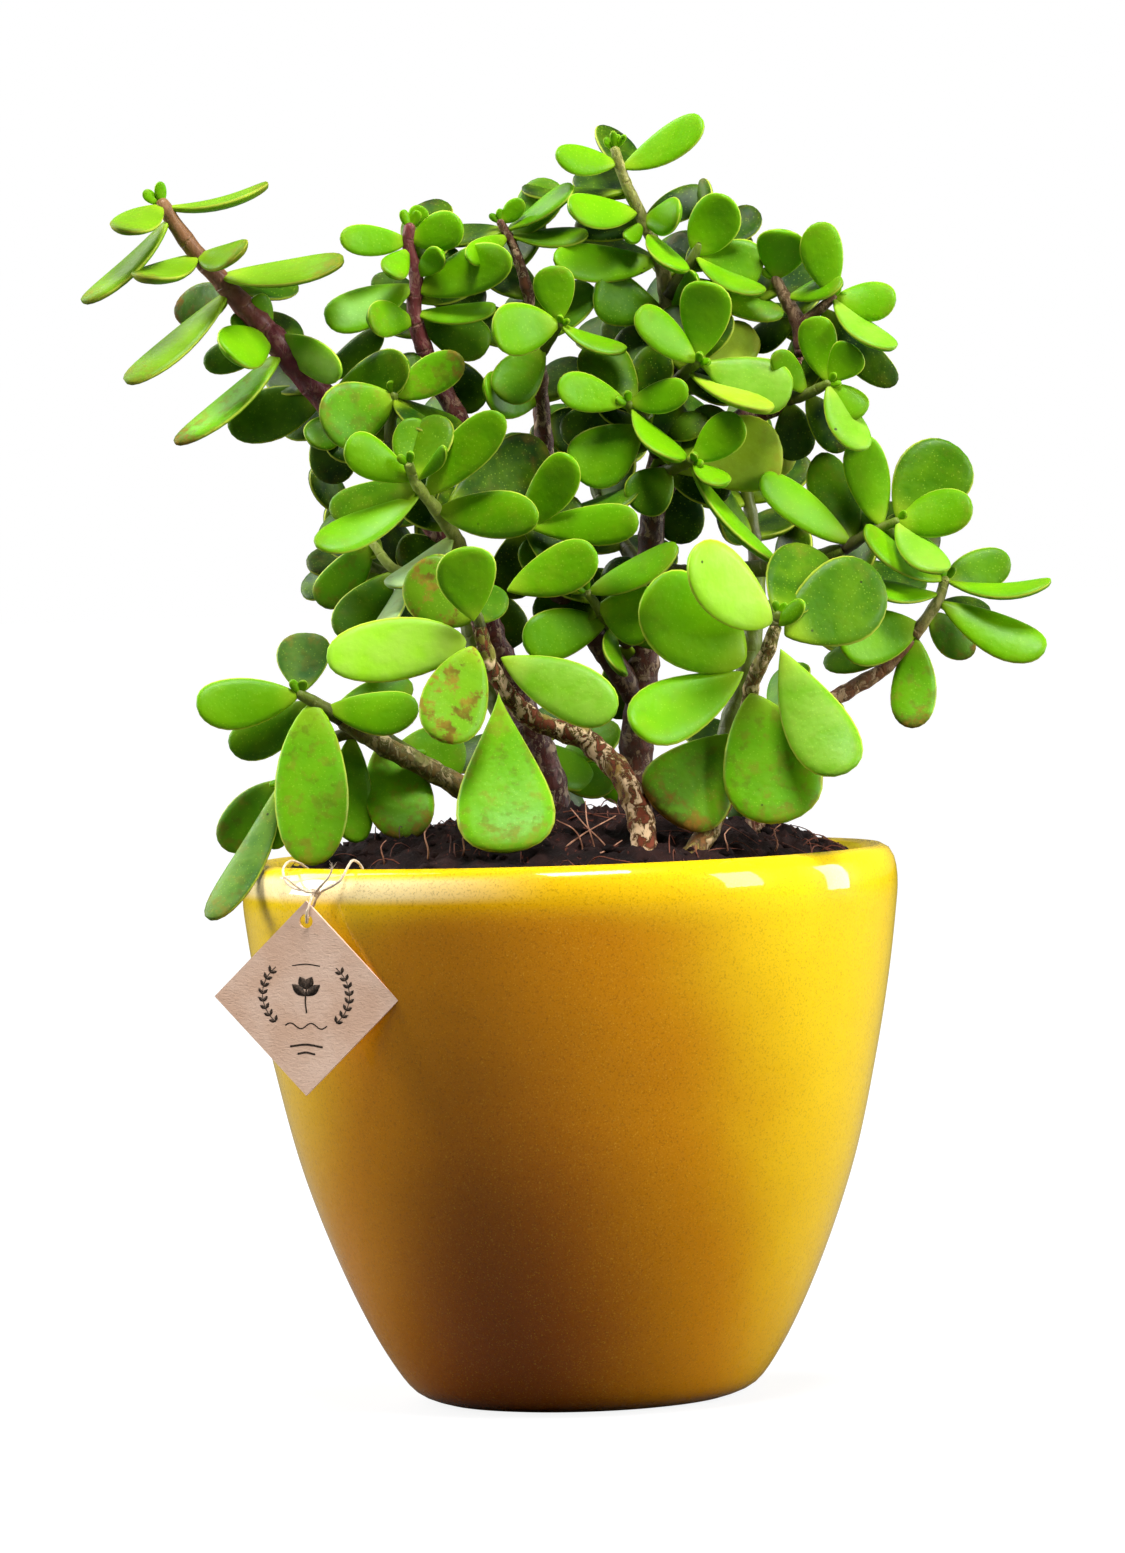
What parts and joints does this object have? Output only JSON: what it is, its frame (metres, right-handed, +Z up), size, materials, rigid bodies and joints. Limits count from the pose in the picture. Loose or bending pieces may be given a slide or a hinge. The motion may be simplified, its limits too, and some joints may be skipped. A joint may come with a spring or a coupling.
{
  "type": "potted jade plant",
  "caption": "Small branching jade plant with thick oval leaves in a rounded glazed bowl of soil, with a square paper tag on a loop of twine.",
  "frame": {"origin": "the middle of the pot's flat base, on the plane it stands on", "axes": "+Z up along the pot's axis, -Y towards the front, where the tag hangs at the left (-X)"},
  "size_m": [0.174, 0.1219, 0.2338],
  "materials": {
    "glaze": "glossy speckled ochre glaze",
    "soil": "dark fibrous potting soil",
    "bark": "brown and green scaly stem",
    "leaf": "waxy green succulent leaf",
    "paper": "plain kraft card",
    "twine": "thin natural twine"
  },
  "bodies": {
    "root": {"pot": "glaze", "trunk": "bark", "front_left_stem": "bark", "front_right_stem": "bark", "right_stem": "bark", "left_low_stem": "bark", "left_stem": "bark", "middle_stem": "bark", "right_high_stem": "bark", "right_middle_stem": "bark", "back_left_stem": "bark", "back_right_stem": "bark", "soil": "soil", "tag": "paper", "tag_string": "twine", "leaf_left_top": "leaf", "leaf_left_spotted": "leaf", "leaf_left_side": "leaf", "leaf_left_lower": "leaf", "leaf_left_inner": "leaf", "leaf_left_hanging": "leaf", "leaf_left_far": "leaf", "leaf_right_broad": "leaf", "leaf_right_top": "leaf", "leaf_right_back": "leaf", "leaf_right_long": "leaf", "leaf_right_side": "leaf", "leaf_right_hanging": "leaf", "leaf_right_red": "leaf", "crown_shoot": "leaf", "crown_right_shoot": "leaf", "left_high_shoot": "leaf", "left_high_base": "leaf", "left_middle_shoot": "leaf", "left_whorl_shoot": "leaf", "purple_shoot": "leaf", "upper_middle_shoot": "leaf", "upper_middle_twig": "leaf", "center_twig": "leaf", "center_low_twig": "leaf", "center_shoot": "leaf", "center_right_shoot": "leaf", "right_middle_shoot": "leaf", "right_high_shoot": "leaf", "right_high_low": "leaf", "right_outer_shoot": "leaf", "right_tip_shoot": "leaf", "left_low_shoot": "leaf", "left_hanging_shoot": "leaf", "front_left_tip": "leaf", "front_right_tip": "leaf", "back_left_top_shoot": "leaf", "back_left_side_shoot": "leaf", "back_left_low_shoot": "leaf", "back_right_top_shoot": "leaf", "back_right_side_shoot": "leaf", "back_right_low_shoot": "leaf", "back_middle_shoot": "leaf", "back_crown_shoot": "leaf", "left_back_shoot": "leaf"}
  },
  "joints": []
}
